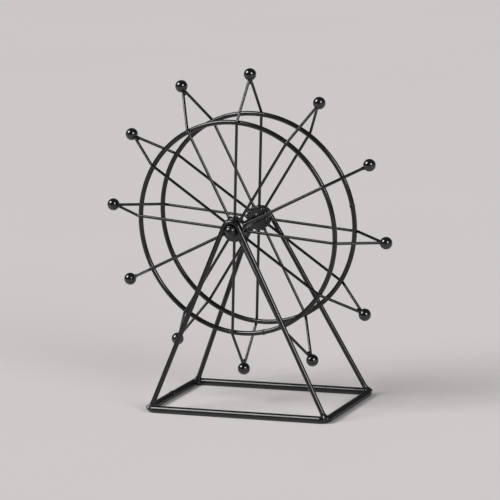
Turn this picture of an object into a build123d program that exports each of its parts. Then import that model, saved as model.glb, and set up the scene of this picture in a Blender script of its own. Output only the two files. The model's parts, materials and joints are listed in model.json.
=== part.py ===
from build123d import *
import os
from math import asin, atan2, cos, degrees, hypot, radians, sin

# A wire ferris wheel ornament: a wheel of rings, spokes and balls that turns by hand on an axle,
# between two bent-wire A-frames that stand on a bent-wire base. All sizes are in millimetres.
# The origin is on the surface it stands on, below the middle of the wheel. +Z is up, the axle
# lies along Y, and the front is the -Y side.

# Base: one rod bent to a rectangle, measured between the middles of the rod
BASE_WIDTH = 139.0
BASE_DEPTH = 75.0
BASE_WIRE_R = 2.5
BASE_CORNER_R = 5.0

# A-frames: one rod each, bent round its bearing collar and welded to two corners of the base
FRAME_WIRE_R = 1.75
AXLE_HEIGHT = 130.5
FRAME_SPACING = 50.0
FOOT_WELD_RISE = 4.5
FOOT_WELD_SPREAD = 1.0

# Axle and bearings
AXLE_R = 1.5
COLLAR_R = 4.2
COLLAR_LENGTH = 4.4
CAP_R = 3.7
CAP_RISE = 1.9
CAP_RIM = 0.6
AXLE_END = 1.2

# Wheel
RING_R = 75.0
RING_WIRE_R = 1.7
RING_SPACING = 33.0
HUB_R = 8.5
HUB_LENGTH = 6.0
HUB_CHAMFER = 0.8
BOSS_R = 4.7
TUBE_R = 2.4
SPOKE_COUNT = 12
SPOKE_R = 1.0
SPOKE_TURN = 5.7
BALL_CIRCLE_R = 106.0
BALL_R = 4.4

# How far under the ball's surface a spoke's middle line is aimed, before the spoke is trimmed to it
BALL_END_DEPTH = 1.0

# Clearances
WELD_GAP = 0.05
LEANING_WELD_GAP = 0.2
SEAT_GAP = 0.02
RUNNING_GAP = 0.06
SIDE_GAP = 0.3

# Wires, balls and domes are drawn with flats, which touch a circle of the true radius
WIRE_SIDES = 8
BALL_SIDES = 12
DOME_STEPS = 2
BEND_STEPS = 2

# Worked out from the sizes above
WIRE_CORNER = 1 / cos(radians(180 / WIRE_SIDES))
SPOKE_BEND_R = RING_WIRE_R * WIRE_CORNER + WELD_GAP + SPOKE_R
SPOKE_PLANE = RING_SPACING / 2 + SPOKE_BEND_R
HUB_FACE = SPOKE_PLANE + HUB_LENGTH / 2
COLLAR_INNER = FRAME_SPACING / 2 - COLLAR_LENGTH / 2
COLLAR_OUTER = FRAME_SPACING / 2 + COLLAR_LENGTH / 2
BOSS_FACE = COLLAR_INNER - SIDE_GAP
FRAME_BEND_R = COLLAR_R + LEANING_WELD_GAP + FRAME_WIRE_R


def flat_sided(radius, sides):
    """A regular polygon whose sides touch a circle of this radius, with one side facing along X."""
    return RegularPolygon(radius, sides, major_radius=False, rotation=180 / sides)


def rod_along(path, normal, radius):
    """A rod whose middle follows a flat path, with a side facing along the path's normal."""
    across = Plane(origin=path @ 0, x_dir=normal, z_dir=path % 0)
    section = across * flat_sided(radius, WIRE_SIDES)
    return sweep(section, path=path, transition=Transition.RIGHT)


def turned(outline):
    """A closed outline drawn as (radius, distance from the middle of the wheel towards the front),
    turned about the axle."""
    return Rot(90, 0, 0) * revolve(Plane.XZ * make_face(outline), Axis.Z)


def at_axle(shape):
    """Lifts a shape made about the origin to the axle's height."""
    return Pos(0, 0, AXLE_HEIGHT) * shape


def around_wheel(shape, place):
    """Turns a shape from straight above the origin to one of the wheel's even places, counted
    clockwise from the front, and lifts it to the axle."""
    return at_axle(Rot(0, SPOKE_TURN + place * 360 / SPOKE_COUNT, 0) * shape)


def behind(shape):
    """The same piece at the back of the object."""
    return mirror(shape, about=Plane.XZ)


def base_loop():
    """The base: one closed rod with rounded corners, lying on the ground."""
    outline = RectangleRounded(BASE_WIDTH, BASE_DEPTH, BASE_CORNER_R)
    return rod_along((Pos(0, 0, BASE_WIRE_R) * outline).wire(), (0, 0, 1), BASE_WIRE_R)


def front_a_frame(base):
    """One rod up from the front left corner, round the collar and down to the front right corner,
    with a weld on each foot. Both feet are trimmed to the rod of the base."""
    corner_inset = BASE_CORNER_R * (1 - cos(radians(45)))
    foot_x = BASE_WIDTH / 2 - corner_inset
    foot_y = BASE_DEPTH / 2 - corner_inset
    rise = AXLE_HEIGHT - BASE_WIRE_R
    lean = atan2(foot_y - FRAME_SPACING / 2, rise)
    slope = rise / cos(lean)
    # the frame's own plane: x to the right, y up the slope, with its origin on the axle
    plane = Plane(
        origin=(0, -FRAME_SPACING / 2, AXLE_HEIGHT),
        x_dir=(1, 0, 0),
        z_dir=(0, -cos(lean), sin(lean)),
    )
    # each leg is a tangent from its foot to the bend, at this angle from the frame's middle line
    spread = degrees(atan2(foot_x, slope) - asin(FRAME_BEND_R / hypot(foot_x, slope)))
    bend = CenterArc((0, 0), FRAME_BEND_R, 180 - spread, -(180 - 2 * spread))
    path = Wire([Line((-foot_x, -slope), bend @ 0), bend, Line(bend @ 1, (foot_x, -slope))])
    frame = rod_along(plane * path, plane.z_dir, FRAME_WIRE_R)
    for side in (-1, 1):
        foot = Pos(side * foot_x, -slope, 0) * Rot(-90, 0, side * spread)
        frame += plane * foot * foot_weld()
    return frame - base


def foot_weld():
    """The weld round a foot, a cone that narrows up the leg along +Z to the leg's own size."""
    foot = flat_sided(FRAME_WIRE_R + FOOT_WELD_SPREAD, WIRE_SIDES)
    top = Pos(0, 0, FOOT_WELD_RISE) * flat_sided(FRAME_WIRE_R, WIRE_SIDES)
    return loft([foot, top], ruled=True)


def front_collar():
    """The bearing collar in the bend of the front A-frame, bored for the axle."""
    bore = AXLE_R + SEAT_GAP
    return at_axle(turned(Polyline(
        (bore, COLLAR_INNER),
        (COLLAR_R, COLLAR_INNER),
        (COLLAR_R, COLLAR_OUTER),
        (bore, COLLAR_OUTER),
        close=True,
    )))


def axle():
    """The axle, a straight rod that reaches into both caps."""
    return at_axle(Rot(90, 0, 0) * Cylinder(AXLE_R, 2 * (COLLAR_OUTER + AXLE_END)))


def front_axle_cap():
    """The domed cap pushed on the front end of the axle, its rim against the collar. The dome is a
    part of a sphere that stands CAP_RISE above a short straight rim."""
    bore = AXLE_R + SEAT_GAP
    floor = COLLAR_OUTER + AXLE_END + SEAT_GAP
    dome_r = (CAP_R**2 + CAP_RISE**2) / (2 * CAP_RISE)
    middle = COLLAR_OUTER + CAP_RIM + CAP_RISE - dome_r
    half_angle = asin(CAP_R / dome_r)
    angles = [half_angle * (1 - step / DOME_STEPS) for step in range(DOME_STEPS + 1)]
    return at_axle(turned(Polyline(
        (0, floor),
        (bore, floor),
        (bore, COLLAR_OUTER),
        (CAP_R, COLLAR_OUTER),
        *[(dome_r * sin(angle), middle + dome_r * cos(angle)) for angle in angles],
        close=True,
    )))


def hub_tube():
    """The tube that joins the two hubs and runs on the axle."""
    length = 2 * BOSS_FACE
    tube = Cylinder(TUBE_R, length) - Cylinder(AXLE_R + RUNNING_GAP, length)
    return at_axle(Rot(90, 0, 0) * tube)


def front_hub():
    """The front hub, turned with a chamfered rim and a low boss on its face that runs against the
    collar, and bored to fit over the end of the tube."""
    bore = TUBE_R + SEAT_GAP
    back = HUB_FACE - HUB_LENGTH
    return at_axle(turned(Polyline(
        (bore, back),
        (HUB_R, back),
        (HUB_R, HUB_FACE - HUB_CHAMFER),
        (HUB_R - HUB_CHAMFER, HUB_FACE),
        (BOSS_R, HUB_FACE),
        (BOSS_R, BOSS_FACE),
        (bore, BOSS_FACE),
        close=True,
    )))


def front_ring():
    """The front ring, a rod bent to a full circle."""
    section = Pos(RING_R, RING_SPACING / 2) * flat_sided(RING_WIRE_R, WIRE_SIDES)
    return at_axle(Rot(90, 0, 0) * revolve(Plane.XZ * section, Axis.Z))


def ball():
    """The ball straight above the origin, drawn with flats from pole to pole along Z."""
    step = radians(360 / BALL_SIDES)
    corner_r = BALL_R / cos(step / 2)

    def corner(level, side):
        up = (level + 0.5) * step - radians(90)
        out = corner_r * cos(up) / cos(step / 2)
        return (out * cos(side * step), out * sin(side * step), corner_r * sin(up))

    bands = range(BALL_SIDES // 2 - 1)
    sides = range(BALL_SIDES)
    faces = [
        Face(Wire.make_polygon([
            corner(band, side),
            corner(band, side + 1),
            corner(band + 1, side + 1),
            corner(band + 1, side),
        ]))
        for band in bands for side in sides
    ]
    poles = [
        Face(Wire.make_polygon([corner(level, side) for side in sides]))
        for level in (0, BALL_SIDES // 2 - 1)
    ]
    return Pos(0, 0, BALL_CIRCLE_R) * Solid(Shell(faces + poles))


def front_spoke():
    """The front spoke that points straight up, about the origin. It stands on the hub's rim, lies on
    the outer face of the front ring, bends round the ring's wire and runs in to the ball, where its
    end is trimmed to the ball."""
    ball_end_r = BALL_CIRCLE_R - BALL_R + BALL_END_DEPTH
    ball_end_y = SPOKE_R + WELD_GAP / 2
    # the last straight is a tangent from the ball's end to the bend round the ring's wire
    run_r = ball_end_r - RING_R
    run_y = ball_end_y - RING_SPACING / 2
    turn = degrees(asin(SPOKE_BEND_R / hypot(run_r, run_y)) - atan2(run_y, run_r))
    # drawn with x out along the spoke and y out towards the front, the bend in short straight steps
    plane = Plane(origin=(0, 0, 0), x_dir=(0, 0, 1), z_dir=(1, 0, 0))
    step = turn / BEND_STEPS
    corner_r = SPOKE_BEND_R / cos(radians(step / 2))
    corners = [
        Vector(RING_R, RING_SPACING / 2) + Vector(corner_r, 0).rotate(Axis.Z, 90 - (index + 0.5) * step)
        for index in range(BEND_STEPS)
    ]
    path = Polyline((HUB_R, SPOKE_PLANE), *corners, (ball_end_r, ball_end_y))
    return rod_along(plane * path, plane.z_dir, SPOKE_R) - ball()


def all_nodes():
    """Every piece by its node's name."""
    base = base_loop()
    nodes = {"base_loop": base, "axle": axle(), "hub_tube": hub_tube()}
    pairs = {
        "a_frame": front_a_frame(base),
        "collar": front_collar(),
        "axle_cap": front_axle_cap(),
        "hub": front_hub(),
        "ring": front_ring(),
    }
    for name, piece in pairs.items():
        nodes["front_" + name] = piece
        nodes["back_" + name] = behind(piece)
    spoke = front_spoke()
    for place in range(SPOKE_COUNT):
        nodes[f"front_spoke_{place + 1:02d}"] = around_wheel(spoke, place)
        nodes[f"back_spoke_{place + 1:02d}"] = around_wheel(behind(spoke), place)
    nodes["balls"] = Compound(
        children=[around_wheel(ball(), place) for place in range(SPOKE_COUNT)]
    )
    return nodes


os.makedirs("parts", exist_ok=True)
for node, shape in all_nodes().items():
    export_step(shape, f"parts/{node}.step")
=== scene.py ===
import json
from math import asin, atan2, cos, hypot, pi, radians, sin

import bpy
import numpy as np
from mathutils import Matrix, Vector


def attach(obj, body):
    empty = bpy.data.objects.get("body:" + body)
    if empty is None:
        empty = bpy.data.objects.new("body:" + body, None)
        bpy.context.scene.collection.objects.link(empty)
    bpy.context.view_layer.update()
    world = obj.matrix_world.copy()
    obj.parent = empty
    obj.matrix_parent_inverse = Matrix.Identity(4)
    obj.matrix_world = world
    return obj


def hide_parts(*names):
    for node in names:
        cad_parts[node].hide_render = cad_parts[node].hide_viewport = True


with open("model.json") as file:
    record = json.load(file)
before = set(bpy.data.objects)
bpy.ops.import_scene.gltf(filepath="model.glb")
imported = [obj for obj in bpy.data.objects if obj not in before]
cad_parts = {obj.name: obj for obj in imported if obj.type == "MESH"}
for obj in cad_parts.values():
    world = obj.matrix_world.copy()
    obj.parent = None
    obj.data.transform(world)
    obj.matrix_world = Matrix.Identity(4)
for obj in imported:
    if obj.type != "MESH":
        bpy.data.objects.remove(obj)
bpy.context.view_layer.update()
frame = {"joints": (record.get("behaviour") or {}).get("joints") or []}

# A wire ferris wheel ornament in black paint. Everything is in metres, with +Z up, the axle along Y
# and the front on the -Y side. The origin is on the floor, below the middle of the wheel.

MM = 0.001
X, Y, Z = np.eye(3)

# Base and A-frames
BASE_WIDTH = 139 * MM
BASE_DEPTH = 75 * MM
BASE_WIRE_R = 2.5 * MM
BASE_CORNER_R = 5 * MM
FRAME_WIRE_R = 1.75 * MM
FRAME_SPACING = 50 * MM
FOOT_WELD_RISE = 4.5 * MM
FOOT_WELD_SPREAD = 1.0 * MM

# Axle and bearings
AXLE = np.array(frame["joints"][0]["pos_m"])
AXLE_HEIGHT = AXLE[2]
AXLE_R = 1.5 * MM
COLLAR_R = 4.2 * MM
COLLAR_LENGTH = 4.4 * MM
CAP_R = 3.7 * MM
CAP_RISE = 1.9 * MM
CAP_RIM = 0.6 * MM
AXLE_END = 1.2 * MM

# Wheel
RING_R = 75 * MM
RING_WIRE_R = 1.7 * MM
RING_SPACING = 33 * MM
HUB_R = 8.5 * MM
HUB_LENGTH = 6 * MM
HUB_CHAMFER = 0.8 * MM
BOSS_R = 4.7 * MM
TUBE_R = 2.4 * MM
SPOKE_COUNT = 12
SPOKE_R = 1.0 * MM
SPOKE_TURN = radians(5.7)
BALL_CIRCLE_R = 106 * MM
BALL_R = 4.4 * MM
BALL_END_DEPTH = 1.0 * MM

# Where the ends of the front and the back ring's rod meet, clockwise from the top
RING_JOINTS = radians(168), radians(81.5)

# Gaps between pieces: pressed together, running on the axle, beside the bearing, and half of the
# gap between the two spokes that meet in a ball
SEAT_GAP = 0.02 * MM
RUNNING_GAP = 0.06 * MM
SIDE_GAP = 0.3 * MM
HALF_FORK_GAP = 0.025 * MM

# Places that follow from the sizes. A spoke's bend lies round the ring's wire, and a frame's bend
# round its collar, each with the thickness of a weld between them
SPOKE_BEND_R = 2.89 * MM
FRAME_BEND_R = 6.15 * MM
SPOKE_PLANE = RING_SPACING / 2 + SPOKE_BEND_R
HUB_FACE = SPOKE_PLANE + HUB_LENGTH / 2
COLLAR_INNER = FRAME_SPACING / 2 - COLLAR_LENGTH / 2
COLLAR_OUTER = FRAME_SPACING / 2 + COLLAR_LENGTH / 2
BOSS_FACE = COLLAR_INNER - SIDE_GAP

# How uneven the weld spots are, as a share of their size
LUMPS = 0.06
HUB_LUMPS = 0.07

# How finely the round surfaces are drawn
WIRE_SIDES = 32
TURNED_SIDES = 96
BALL_SIDES = 40
BALL_ROWS = 26
RING_POINTS = 240
BUTT_WELD_POINTS = 15
FOOT_WELD_POINTS = 28
SPOKE_FOOT_POINTS = 9
BEND_STEP = radians(5)


# ---------------------------------------------------------------- meshes

def shell(grid, loops=False, ends=None):
    """Points and faces of a closed surface over a grid of points [row, side, xyz]. It closes on
    itself round the sides, and from the last row to the first where it loops. Otherwise each end is
    closed by a fan to one point, the middle of its row unless ends gives it. Faces are turned
    outwards by the sign of the enclosed volume."""
    rows, sides = grid.shape[:2]
    points = grid.reshape(-1, 3)
    row = np.arange(rows if loops else rows - 1)[:, None]
    side = np.arange(sides)[None, :]
    after, beside = (row + 1) % rows, (side + 1) % sides
    corners = (row * sides + side, row * sides + beside, after * sides + beside, after * sides + side)
    faces = np.stack(np.broadcast_arrays(*corners), -1).reshape(-1, 4)
    triangles = np.concatenate([faces[:, [0, 1, 2]], faces[:, [0, 2, 3]]])
    if not loops:
        first, last = (grid[0].mean(0), grid[-1].mean(0)) if ends is None else ends
        points = np.concatenate([points, [first, last]])
        rim, rim_next = side[0], beside[0]
        tip = np.full(sides, rows * sides)
        top = (rows - 1) * sides
        fans = [np.stack([tip, rim_next, rim], -1), np.stack([tip + 1, top + rim, top + rim_next], -1)]
        triangles = np.concatenate([triangles, *fans])
    a, b, c = points[triangles].transpose(1, 0, 2)
    if np.einsum("ij,ij->i", a, np.cross(b, c)).sum() < 0:
        triangles = triangles[:, ::-1]
    return points, triangles


def piece(name, shells, material, body, replaced=()):
    """One object from closed shells. It rides on a body and may stand for CAD nodes."""
    starts = np.cumsum([0] + [len(points) for points, _ in shells[:-1]])
    points = np.concatenate([points for points, _ in shells])
    faces = np.concatenate([faces + start for (_, faces), start in zip(shells, starts)])
    mesh = bpy.data.meshes.new(name)
    mesh.from_pydata(points.tolist(), [], faces.tolist())
    mesh.shade_smooth()
    mesh.materials.append(material)
    made = bpy.data.objects.new(name, mesh)
    bpy.context.scene.collection.objects.link(made)
    if body is None:
        return made
    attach(made, body)
    if replaced:
        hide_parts(*replaced)
    return made


def rounded_path(corners, radii, closed=False, support=0.15 * MM):
    """A flat line [n, 2] through corners, each rounded by an arc of its radius. The arc starts and
    ends r tan(turn / 2) from the corner. A point just outside each arc and just inside each end
    keeps the shading of the straights true."""
    corners = np.array(corners, float)
    before, after = np.roll(corners, 1, 0), np.roll(corners, -1, 0)
    if not closed:
        inner = slice(1, -1)
        before, middle, after = before[inner], corners[inner], after[inner]
    else:
        middle = corners
    stretches = []
    for a, p, b, r in zip(before, middle, after, np.broadcast_to(radii, len(middle))):
        come, go = (p - a) / np.linalg.norm(p - a), (b - p) / np.linalg.norm(b - p)
        turn = atan2(come[0] * go[1] - come[1] * go[0], come @ go)
        inward = np.sign(turn) * np.array([-come[1], come[0]])
        start = p - come * r * np.tan(abs(turn) / 2)
        t = np.linspace(0, abs(turn), max(3, int(abs(turn) / BEND_STEP) + 2))[:, None]
        arc = start + r * (np.sin(t) * come + (1 - np.cos(t)) * inward)
        stretches += [arc[:1] - come * support, arc, arc[-1:] + go * support]
    if not closed:
        first, last = corners[[0, 0]], corners[[-1, -1]]
        first[1] += support * (corners[1] - corners[0]) / np.linalg.norm(corners[1] - corners[0])
        last[0] += support * (corners[-2] - corners[-1]) / np.linalg.norm(corners[-2] - corners[-1])
        stretches = [first, *stretches, last]
    return np.concatenate(stretches)


def tube(path, origin, right, up, radius, loops=False, waves=None):
    """A round rod along a flat path [n, 2] in the plane of right and up. With n the plane's normal
    and m the path's own normal, a point is p + r (cos v n + sin v m). r may change along the path,
    and waves are added to it."""
    step = np.roll(path, -1, 0) - np.roll(path, 1, 0)
    if not loops:
        step[0], step[-1] = path[1] - path[0], path[-1] - path[-2]
    step /= np.linalg.norm(step, axis=1)[:, None]
    centre = origin + path[:, :1] * right + path[:, 1:] * up
    sideways = -step[:, 1:] * right + step[:, :1] * up
    v = np.linspace(0, 2 * pi, WIRE_SIDES, endpoint=False)[None, :, None]
    r = np.broadcast_to(radius, len(path))[:, None, None]
    if waves is not None:
        r = r + waves
    around = np.cos(v) * np.cross(right, up) + np.sin(v) * sideways[:, None]
    return shell(centre[:, None] + r * around, loops)


def turned(outline, sense=1):
    """A closed outline [n, 2] of (radius r, distance d along the axle) turned round the axle: a point
    is axle - sense d Y + r (cos v X + sin v Z). sense is 1 at the front and -1 at the back."""
    v = np.linspace(0, 2 * pi, TURNED_SIDES, endpoint=False)[None, :, None]
    r, along = outline[:, :1, None], outline[:, 1:, None]
    return shell(AXLE - sense * along * Y + r * (np.cos(v) * X + np.sin(v) * Z), loops=True)


def ball_shell(centre, up, across, radii, lumps=0.0):
    """An ellipsoid with its poles along up: a point is centre + the three half sizes times
    (sin u cos v, sin u sin v, cos u), the whole times 1 + lumps (cos(3 v + c) sin(u)^2 +
    cos(4 u + v) sin u), where c follows from the centre, so that no two weld spots are alike."""
    u = np.linspace(0, pi, BALL_ROWS)[1:-1, None, None]
    v = np.linspace(0, 2 * pi, BALL_SIDES, endpoint=False)[None, :, None]
    waves = np.cos(3 * v + 5 * centre[0] / MM) * np.sin(u) ** 2 + np.cos(4 * u + v) * np.sin(u)
    swell = 1 + lumps * waves
    aside = np.cross(up, across)
    grid = centre + swell * (
        radii[0] * np.sin(u) * np.cos(v) * across
        + radii[1] * np.sin(u) * np.sin(v) * aside
        + radii[2] * np.cos(u) * up
    )
    return shell(grid, ends=(centre + radii[2] * up, centre - radii[2] * up))


# ---------------------------------------------------------------- finishes

def linear(code):
    """An sRGB hex colour as linear red, green, blue and alpha."""
    value = np.array([int(code[i:i + 2], 16) for i in (1, 3, 5)]) / 255
    value = np.where(value <= 0.04045, value / 12.92, ((value + 0.055) / 1.055) ** 2.4)
    return (*value.tolist(), 1.0)


def add_node(tree, kind, settings, links=()):
    """One node with its settings and links. A key is a property's name, or a socket's name or
    place."""
    made = tree.nodes.new(kind)
    for key, value in settings.items():
        if isinstance(key, int) or key in made.inputs:
            made.inputs[key].default_value = value
        else:
            setattr(made, key, value)
    for key, output in dict(links).items():
        tree.links.new(output, made.inputs[key])
    return made


def noise(tree, place, width, detail):
    """Soft noise whose patches are about width mm wide."""
    settings = {"Scale": 1 / (width * MM), "Detail": detail}
    return add_node(tree, "ShaderNodeTexNoise", settings, {"Vector": place}).outputs["Fac"]


def blend(tree, shades, factor):
    """A colour between two sRGB hex shades."""
    settings = {"data_type": "RGBA", 6: linear(shades[0]), 7: linear(shades[1])}
    return add_node(tree, "ShaderNodeMix", settings, {0: factor}).outputs[2]


def black_paint(name, shades, roughness, peel, speck, coat, cloudiness=6.0):
    """Black paint on metal. shades are its darker and lighter black, roughness its least and most,
    and cloudiness the width in mm of the patches in which they change. peel is the (width, height)
    in mm of the soft waves that wet paint sets in, and speck that of the dust caught in it. coat is
    the (weight, roughness) of the clear skin on top."""
    material = bpy.data.materials.new(name)
    material.use_nodes = True
    tree = material.node_tree
    tree.nodes.clear()
    place = add_node(tree, "ShaderNodeTexCoord", {}).outputs["Object"]
    cloud = noise(tree, place, cloudiness, 3.0)
    peel_waves = noise(tree, place, peel[0], 1.5)
    dust = noise(tree, place, speck[0], 2.0)
    colour = blend(tree, shades, cloud)
    spread = {"From Min": 0.35, "From Max": 0.65, "To Min": roughness[0], "To Max": roughness[1]}
    rough = add_node(tree, "ShaderNodeMapRange", spread, {"Value": cloud}).outputs[0]
    soft = add_node(tree, "ShaderNodeBump", {"Strength": 1.0, "Distance": peel[1] * MM},
                    {"Height": peel_waves}).outputs[0]
    fine = add_node(tree, "ShaderNodeBump", {"Strength": 1.0, "Distance": speck[1] * MM},
                    {"Height": dust, "Normal": soft}).outputs[0]
    paint = add_node(tree, "ShaderNodeBsdfPrincipled",
                     {"IOR": 1.5, "Coat Weight": coat[0], "Coat Roughness": coat[1]},
                     {"Base Color": colour, "Roughness": rough, "Normal": fine})
    add_node(tree, "ShaderNodeOutputMaterial", {}, {"Surface": paint.outputs[0]})
    return material


# Powder coat baked on drawn steel wire: an even deep black with a soft bright shine, since the melted
# powder sets in low waves about two millimetres long under a smooth skin
WIRE_PAINT = black_paint(
    "powder_coat_on_wire", shades=("#0A0909", "#121110"), roughness=(0.18, 0.25),
    peel=(2.0, 0.006), speck=(0.4, 0.001), coat=(0.0, 0.12),
)

# The same coat on lathe-turned hubs, collars and caps, where it lies smoother
TURNED_PAINT = black_paint(
    "powder_coat_on_turned_steel", shades=("#0A0909", "#121110"), roughness=(0.17, 0.23),
    peel=(2.4, 0.006), speck=(0.4, 0.001), coat=(0.1, 0.10),
)

# The coat over weld beads, which stay rough underneath
WELD_PAINT = black_paint(
    "powder_coat_on_weld", shades=("#0B0A0A", "#161413"), roughness=(0.22, 0.32),
    peel=(1.1, 0.035), speck=(0.3, 0.006), coat=(0.0, 0.16), cloudiness=1.5,
)

# Gloss enamel on round steel balls: nearly a mirror, with sharp bright reflections of the lamps
BALL_ENAMEL = black_paint(
    "gloss_enamel_on_balls", shades=("#08080A", "#100F10"), roughness=(0.07, 0.11),
    peel=(3.0, 0.006), speck=(0.4, 0.001), coat=(0.5, 0.05),
)


# ---------------------------------------------------------------- stand

def base_rod():
    """One rod bent to a rectangle with rounded corners, lying on the floor."""
    w, d = BASE_WIDTH / 2, BASE_DEPTH / 2
    path = rounded_path([(-w, -d), (w, -d), (w, d), (-w, d)], BASE_CORNER_R, closed=True)
    rod = tube(path, BASE_WIRE_R * Z, X, Y, BASE_WIRE_R, loops=True)
    piece("base_rod", [rod], WIRE_PAINT, "stand", ["base_loop"])


def butt_weld(name, path, origin, right, up, radius, body):
    """The bead where the two ends of a bent rod meet: the rod's round swollen by h (1 - t^2)^(1/2)
    along a short stretch of its path, with t from -1 to 1, and a low ripple round it. It is dressed
    flush where cos v is low, which is the side on which the base stands on the floor."""
    height, sunk = 0.45 * MM, 0.05 * MM
    t = np.linspace(-1, 1, len(path))
    v = np.linspace(0, 2 * pi, WIRE_SIDES, endpoint=False)
    ripple = (1 + 0.25 * np.cos(3 * v + 2 * t[:, None])) * np.clip(0.7 + np.cos(v), 0, 1)
    bead = height * np.sqrt(1 - t[:, None] ** 2) * ripple - sunk
    weld = tube(path, origin, right, up, radius, waves=bead[:, :, None])
    piece(name + "_butt_weld", [weld], WELD_PAINT, body)


def base_butt_weld():
    """The bead in the middle of the base's left side."""
    along = np.linspace(-1.4, 1.4, BUTT_WELD_POINTS) * MM
    path = np.stack([np.full(BUTT_WELD_POINTS, -BASE_WIDTH / 2), along], -1)
    butt_weld("base", path, BASE_WIRE_R * Z, X, Y, BASE_WIRE_R, "stand")


def frame_plane(side):
    """The leaning plane of an A-frame: its origin on the axle, the way up its slope, how far its
    feet lie to the side and down the slope, and the angle between a leg and the slope. side is 1
    at the front and -1 at the back."""
    inset = BASE_CORNER_R * (1 - cos(radians(45)))
    foot_x = BASE_WIDTH / 2 - inset
    foot_y = BASE_DEPTH / 2 - inset
    rise = AXLE_HEIGHT - BASE_WIRE_R
    lean = atan2(foot_y - FRAME_SPACING / 2, rise)
    origin = AXLE - side * FRAME_SPACING / 2 * Y
    up = side * sin(lean) * Y + cos(lean) * Z
    slope = rise / cos(lean)
    spread = atan2(foot_x, slope) - asin(FRAME_BEND_R / hypot(foot_x, slope))
    return origin, up, foot_x, slope, spread


def a_frame(name, side):
    """One rod up from one foot, round the bearing collar and down to the other foot."""
    origin, up, foot_x, slope, spread = frame_plane(side)
    corners = [(-foot_x, -slope), (0, FRAME_BEND_R / sin(spread)), (foot_x, -slope)]
    rod = tube(rounded_path(corners, FRAME_BEND_R), origin, X, up, FRAME_WIRE_R)
    piece(name + "_a_frame_rod", [rod], WIRE_PAINT, "stand", [name + "_a_frame"])


def foot_weld(name, side, hand):
    """The weld round the foot of a leg. With s the way up the leg, it is the leg's own round swollen
    by h exp(-(s / width)^2) and the ripples of the bead, and below the foot it rounds off by the
    square root of 1 - (s / low)^2."""
    origin, up, foot_x, slope, spread = frame_plane(side)
    low, width, skin = 1.9 * MM, 2.6 * MM, 0.02 * MM
    along = np.linspace(-0.99 * low, 1.3 * FOOT_WELD_RISE, FOOT_WELD_POINTS)
    path = np.stack([hand * (foot_x - along * sin(spread)), -slope + along * cos(spread)], -1)
    v = np.linspace(0, 2 * pi, WIRE_SIDES, endpoint=False)
    ripple = 1 + 0.16 * np.cos(3 * v + side + 2 * hand) + 0.12 * np.cos(5 * v + 1400 * along[:, None])
    swell = 1.7 * FOOT_WELD_SPREAD * np.exp(-(along[:, None] / width) ** 2) * ripple
    closing = np.sqrt(1 - np.clip(-along[:, None] / low, 0, 1) ** 2)
    bead = (FRAME_WIRE_R + skin + swell) * closing
    weld = tube(path, origin, X, up, 0.0, waves=bead[:, :, None])
    piece(name + "_foot_weld", [weld], WELD_PAINT, "stand")


def ring_outline(bore, radius, inner, outer, edge, bore_edge=0.2 * MM):
    """The outline of a plain turned ring, its rim's edges rounded."""
    corners = [(bore, inner), (radius, inner), (radius, outer), (bore, outer)]
    return rounded_path(corners, [bore_edge, edge, edge, bore_edge], closed=True, support=0.05 * MM)


def collar(name, side):
    """The bearing collar in the bend of an A-frame."""
    outline = ring_outline(AXLE_R + SEAT_GAP, COLLAR_R, COLLAR_INNER, COLLAR_OUTER, 0.45 * MM)
    piece(name + "_bearing_collar", [turned(outline, side)], TURNED_PAINT, "stand",
          [name + "_collar"])


def axle_cap(name, side):
    """The domed cap on an end of the axle: a short rim and a part of a sphere above it."""
    bore, floor = AXLE_R + SEAT_GAP, COLLAR_OUTER + AXLE_END + SEAT_GAP
    centre_r, edge = 0.02 * MM, 0.1 * MM
    dome_r = (CAP_R**2 + CAP_RISE**2) / (2 * CAP_RISE)
    middle = COLLAR_OUTER + CAP_RIM + CAP_RISE - dome_r
    angle = np.linspace(asin(CAP_R / dome_r), 0.012, 24)
    dome = np.stack([dome_r * np.sin(angle), middle + dome_r * np.cos(angle)], -1)
    inside = [(centre_r, floor), (bore, floor), (bore, COLLAR_OUTER), (CAP_R - edge, COLLAR_OUTER),
              (CAP_R, COLLAR_OUTER + edge)]
    piece(name + "_domed_cap", [turned(np.concatenate([inside, dome]), side)], TURNED_PAINT, "stand",
          [name + "_axle_cap"])


def axle_rod():
    """The axle, from cap to cap."""
    reach = COLLAR_OUTER + AXLE_END
    path = np.array([(0, -reach), (0, -COLLAR_OUTER), (0, COLLAR_OUTER), (0, reach)])
    piece("axle_rod", [tube(path, AXLE, X, Y, AXLE_R)], TURNED_PAINT, "stand", ["axle"])


# ---------------------------------------------------------------- wheel

def place_on_wheel(place):
    """The unit vectors outwards and sideways at one of the wheel's even places, counted clockwise
    from the front."""
    angle = SPOKE_TURN + place * 2 * pi / SPOKE_COUNT
    return np.array([sin(angle), 0, cos(angle)]), np.array([cos(angle), 0, -sin(angle)])


def wheel_tube():
    """The tube that joins the hubs and runs on the axle."""
    edge = 0.1 * MM
    outline = ring_outline(AXLE_R + RUNNING_GAP, TUBE_R, -BOSS_FACE, BOSS_FACE, edge, edge)
    piece("wheel_tube", [turned(outline)], TURNED_PAINT, "wheel", ["hub_tube"])


def hub(name, side):
    """A hub: a drum with a rounded chamfer and a low boss on its outer face."""
    bore, back = TUBE_R + SEAT_GAP, HUB_FACE - HUB_LENGTH
    corners = [(bore, back), (HUB_R, back), (HUB_R, HUB_FACE - HUB_CHAMFER),
               (HUB_R - HUB_CHAMFER, HUB_FACE), (BOSS_R, HUB_FACE), (BOSS_R, BOSS_FACE),
               (bore, BOSS_FACE)]
    roundings = np.array([0.2, 0.5, 0.15, 0.15, 0.04, 0.04, 0.04]) * MM
    outline = rounded_path(corners, roundings, closed=True, support=0.02 * MM)
    piece(name + "_hub_drum", [turned(outline, side)], TURNED_PAINT, "wheel",
          [name + "_hub"])


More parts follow.
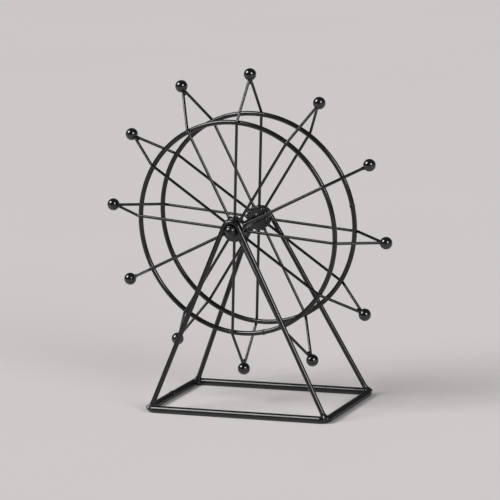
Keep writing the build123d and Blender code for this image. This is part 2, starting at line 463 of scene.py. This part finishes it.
def wheel_ring(name, side, joint):
    """A ring: one wire bent to a full circle, its ends welded at the angle of the joint."""
    origin = AXLE - side * RING_SPACING / 2 * Y
    angle = np.linspace(0, 2 * pi, RING_POINTS, endpoint=False)
    path = RING_R * np.stack([np.sin(angle), np.cos(angle)], -1)
    ring = tube(path, origin, X, Z, RING_WIRE_R, loops=True)
    piece(name + "_wheel_ring", [ring], WIRE_PAINT, "wheel", [name + "_ring"])
    angle = joint + np.linspace(-1.3, 1.3, BUTT_WELD_POINTS) * MM / RING_R
    path = RING_R * np.stack([np.sin(angle), np.cos(angle)], -1)
    butt_weld(name + "_ring", path, origin, X, Z, RING_WIRE_R, "wheel")


def spoke(name, side, place):
    """A spoke: straight from the hub's rim to the ring, bent round the ring's wire, and straight in
    to the ball. Its foot swells into the weld on the hub by h (1 - s / length)^2, with s the way out
    from the rim."""
    out, _ = place_on_wheel(place)
    weld_length, weld_height = 1.9 * MM, 0.3 * MM
    end_r, end_y = BALL_CIRCLE_R - BALL_R + BALL_END_DEPTH, SPOKE_R + HALF_FORK_GAP
    run_r, run_y = end_r - RING_R, end_y - RING_SPACING / 2
    turn = asin(SPOKE_BEND_R / hypot(run_r, run_y)) - atan2(run_y, run_r)
    bend_at = RING_R + SPOKE_BEND_R * np.tan(turn / 2)
    corners = [(HUB_R + 2 * MM, SPOKE_PLANE), (bend_at, SPOKE_PLANE), (end_r, end_y)]
    foot = HUB_R + np.linspace(-0.5, 1.9, SPOKE_FOOT_POINTS) * MM
    foot = np.stack([foot, np.full(SPOKE_FOOT_POINTS, SPOKE_PLANE)], -1)
    path = np.concatenate([foot, rounded_path(corners, SPOKE_BEND_R)])
    swell = weld_height * np.clip(1 - (path[:, 0] - HUB_R) / weld_length, 0, 1.2) ** 2
    rod = tube(path, AXLE, out, -side * Y, SPOKE_R + swell)
    piece(f"{name}_spoke_wire_{place + 1:02d}", [rod], WIRE_PAINT, "wheel",
          [f"{name}_spoke_{place + 1:02d}"])


def ring_welds(name, side):
    """The weld spots between the spokes and a ring, one on each crossing."""
    size, beside_ring = np.array([1.7, 1.35, 0.75]) * MM, 1.75 * MM
    spots = []
    for place in range(SPOKE_COUNT):
        out, across = place_on_wheel(place)
        centre = AXLE + RING_R * out - side * (RING_SPACING / 2 + beside_ring) * Y
        spots.append(ball_shell(centre, -side * Y, across, size, LUMPS))
    piece(name + "_ring_welds", spots, WELD_PAINT, "wheel")


def hub_welds(name, side):
    """The weld beads between the spokes' feet and a hub: one on each foot, drawn out over the
    inner edge of the rim, and a low fillet round the tube, its outline a quarter circle."""
    size, below_rim, inwards = np.array([1.5, 1.5, 1.9]) * MM, 0.7 * MM, 2.1 * MM
    fillet_r, depth = 1.3 * MM, 0.1 * MM
    spots = []
    for place in range(SPOKE_COUNT):
        out, across = place_on_wheel(place)
        centre = AXLE + (HUB_R - below_rim) * out - side * (SPOKE_PLANE - inwards) * Y
        spots.append(ball_shell(centre, -side * Y, across, size, HUB_LUMPS))
    inner = HUB_FACE - HUB_LENGTH
    turn = np.linspace(0, pi / 2, 8)
    quarter = [TUBE_R + fillet_r * (1 - np.sin(turn)), inner - fillet_r * (1 - np.cos(turn))]
    buried = [(TUBE_R - depth, inner - fillet_r), (TUBE_R - depth, inner + depth),
              (TUBE_R + fillet_r, inner + depth)]
    spots.append(turned(np.concatenate([np.stack(quarter, -1), buried]), side))
    piece(name + "_hub_welds", spots, WELD_PAINT, "wheel")


def wheel_balls():
    """The balls, one on each pair of spokes."""
    places = [place_on_wheel(place) for place in range(SPOKE_COUNT)]
    size = np.full(3, BALL_R)
    balls = [ball_shell(AXLE + BALL_CIRCLE_R * out, out, across, size) for out, across in places]
    piece("wheel_balls", balls, BALL_ENAMEL, "wheel", ["balls"])


def ball_welds():
    """The weld in the fork of the two spokes, just inside each ball."""
    size, below_ball = np.array([1.35, 2.2, 1.9]) * MM, 0.7 * MM
    spots = []
    for place in range(SPOKE_COUNT):
        out, across = place_on_wheel(place)
        centre = AXLE + (BALL_CIRCLE_R - BALL_R - below_ball) * out
        spots.append(ball_shell(centre, out, across, size, LUMPS))
    piece("ball_welds", spots, WELD_PAINT, "wheel")


base_rod()
base_butt_weld()
axle_rod()
wheel_tube()
wheel_balls()
ball_welds()
for name, side, ring_joint in (("front", 1, RING_JOINTS[0]), ("back", -1, RING_JOINTS[1])):
    a_frame(name, side)
    for hand_name, hand in (("left", -1), ("right", 1)):
        foot_weld(f"{name}_{hand_name}", side, hand)
    collar(name, side)
    axle_cap(name, side)
    hub(name, side)
    wheel_ring(name, side, ring_joint)
    ring_welds(name, side)
    hub_welds(name, side)
    for place in range(SPOKE_COUNT):
        spoke(name, side, place)


# ---------------------------------------------------------------- floor, light and camera

# The camera, fitted to the photograph: where it looks from, how it rolls, and its lens
VIEW_YAW = radians(-27.056)
VIEW_PITCH = radians(12.409)
VIEW_ROLL = radians(-4.035)
VIEW_DISTANCE = 2.120
VIEW_OFFSET = (2.152 * MM, -18.566 * MM)
FOCAL_PIXELS = 3037.1
PHOTO_PIXELS = 500
SENSOR = 36.0


def camera_axes():
    """The camera's right, up and forward unit vectors."""
    forward = np.array([sin(VIEW_YAW) * cos(VIEW_PITCH), cos(VIEW_YAW) * cos(VIEW_PITCH), -sin(VIEW_PITCH)])
    right = np.array([cos(VIEW_YAW), -sin(VIEW_YAW), 0])
    up = np.cross(right, forward)
    c, s = cos(VIEW_ROLL), sin(VIEW_ROLL)
    return c * right + s * up, -s * right + c * up, forward


def add_camera():
    """The camera at the photograph's viewing angle."""
    right, up, forward = camera_axes()
    place = AXLE - VIEW_DISTANCE * forward + VIEW_OFFSET[0] * right + VIEW_OFFSET[1] * up
    data = bpy.data.cameras.new("camera")
    data.sensor_width = SENSOR
    data.lens = FOCAL_PIXELS / PHOTO_PIXELS * SENSOR
    made = bpy.data.objects.new("camera", data)
    made.matrix_world = Matrix((
        (right[0], up[0], -forward[0], place[0]),
        (right[1], up[1], -forward[1], place[1]),
        (right[2], up[2], -forward[2], place[2]),
        (0, 0, 0, 1),
    ))
    bpy.context.scene.collection.objects.link(made)
    bpy.context.scene.camera = made


def add_lamp(name, toward, strength, width):
    """A far soft lamp. toward is the way to it in the camera's right, up and back, and width the
    angle that it fills."""
    right, up, forward = camera_axes()
    way = Vector(toward[0] * right + toward[1] * up - toward[2] * forward)
    data = bpy.data.lights.new(name, "SUN")
    data.energy = strength
    data.angle = radians(width)
    made = bpy.data.objects.new(name, data)
    made.rotation_mode = "QUATERNION"
    made.rotation_quaternion = way.to_track_quat("Z", "Y")
    bpy.context.scene.collection.objects.link(made)


def add_world(strength):
    """Even pale light from all round."""
    world = bpy.data.worlds.new("room")
    world.use_nodes = True
    world.node_tree.nodes.clear()
    settings = {"Color": linear("#F4F3F2"), "Strength": strength}
    light = add_node(world.node_tree, "ShaderNodeBackground", settings)
    add_node(world.node_tree, "ShaderNodeOutputWorld", {}, {"Surface": light.outputs[0]})
    bpy.context.scene.world = world


def pale_floor():
    """The floor: a wide flat sheet of pale matt board. It is a disc of rings of points r (cos v X +
    sin v Y), closed at its middle, and the same 2 mm lower."""
    thickness = 2 * MM
    radius = np.geomspace(0.05, 9, 24)[:, None, None]
    v = np.linspace(0, 2 * pi, TURNED_SIDES, endpoint=False)[None, :, None]
    top = radius * (np.cos(v) * X + np.sin(v) * Y)
    under = top[::-1] - thickness * Z
    material = bpy.data.materials.new("pale_board")
    material.use_nodes = True
    tree = material.node_tree
    tree.nodes.clear()
    place = add_node(tree, "ShaderNodeTexCoord", {}).outputs["Object"]
    grain = noise(tree, place, 250.0, 2.0)
    colour = blend(tree, ("#CFCBCA", "#D2CECD"), grain)
    board = add_node(tree, "ShaderNodeBsdfPrincipled", {"Roughness": 0.6}, {"Base Color": colour})
    add_node(tree, "ShaderNodeOutputMaterial", {}, {"Surface": board.outputs[0]})
    grid = np.concatenate([top, under])
    piece("floor", [shell(grid, ends=(0 * Z, -thickness * Z))], material, None)


pale_floor()
add_world(0.12)
add_lamp("window_upper_left", toward=(-0.75, 0.6, 0.27), strength=3.0, width=32)
add_lamp("lamp_right_front", toward=(0.48, 0.32, 0.82), strength=1.8, width=26)
add_camera()
bpy.context.scene.view_settings.view_transform = "Standard"
